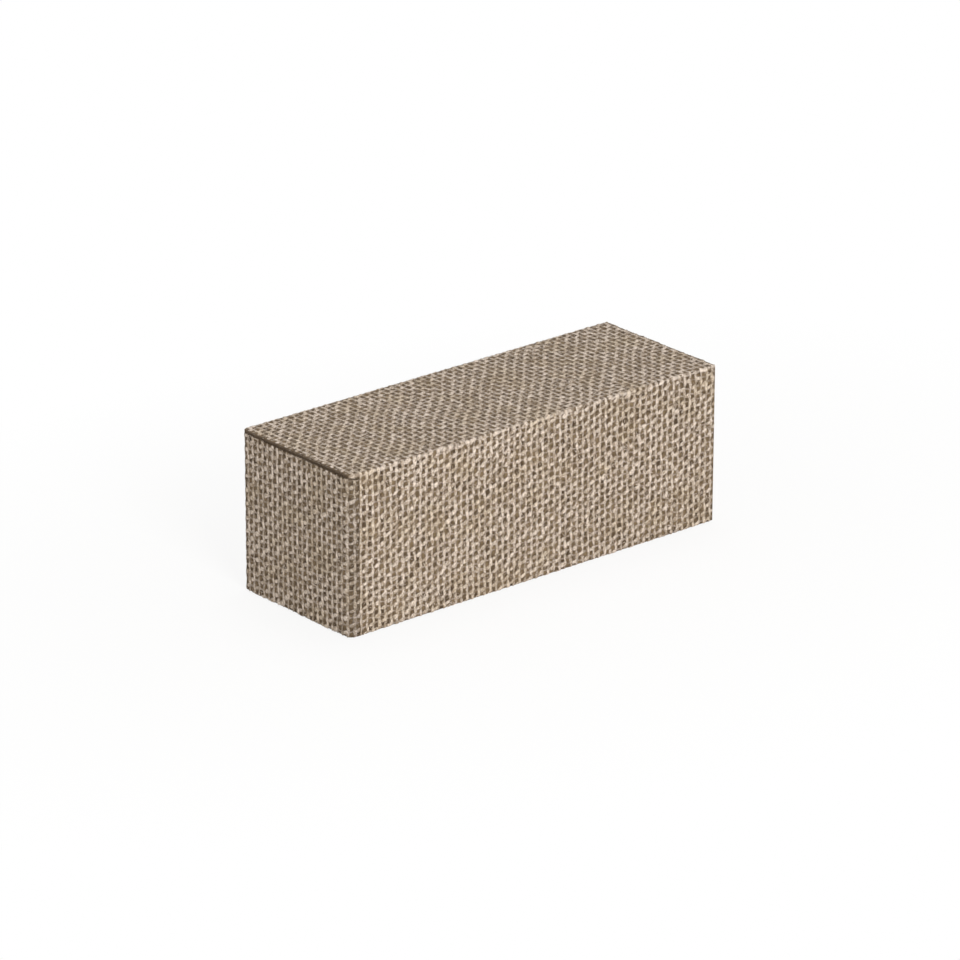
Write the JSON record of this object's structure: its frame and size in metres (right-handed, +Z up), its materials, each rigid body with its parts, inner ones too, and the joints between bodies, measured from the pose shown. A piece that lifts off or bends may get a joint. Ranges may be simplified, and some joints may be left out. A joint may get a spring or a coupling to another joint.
{
  "type": "sliding drawer gift box",
  "caption": "Slim rectangular gift box with a sleeve and a full-depth drawer, covered in jute-weave cloth paper with a thin shadow gap over the drawer front.",
  "frame": {"origin": "under the middle of the closed box, on the table", "axes": "+Z up, -Y the drawer front, X across the two long sides"},
  "size_m": [0.0564, 0.163, 0.058],
  "materials": {
    "jute_weave_cover": "cream and brown jute weave, matt",
    "kraft_paper": "plain, matt",
    "greyboard": "raw",
    "gummed_tape": "plain, matt"
  },
  "bodies": {
    "sleeve": {"top_board": "greyboard", "left_side_board": "greyboard", "right_side_board": "greyboard", "bottom_board": "greyboard", "back_board": "greyboard", "sleeve_cover": "jute_weave_cover", "back_sheet": "jute_weave_cover", "base_cover": "jute_weave_cover", "sleeve_lining": "kraft_paper", "back_lining": "kraft_paper", "sleeve_stay_tapes": "gummed_tape"},
    "drawer": {"front_outer_board": "greyboard", "front_inner_board": "greyboard", "front_cover": "jute_weave_cover", "front_backing_sheet": "kraft_paper", "tray_bottom_board": "greyboard", "tray_left_board": "greyboard", "tray_right_board": "greyboard", "tray_front_board": "greyboard", "tray_back_board": "greyboard", "tray_cover": "kraft_paper", "tray_base_sheet": "kraft_paper", "tray_lining": "kraft_paper", "tray_floor_sheet": "kraft_paper", "tray_stay_tapes": "gummed_tape"}
  },
  "joints": [
    {"name": "drawer_slide", "type": "slide", "parent": "sleeve", "child": "drawer", "axis": [0, -1, 0], "range_m": [0, 0.14]}
  ]
}
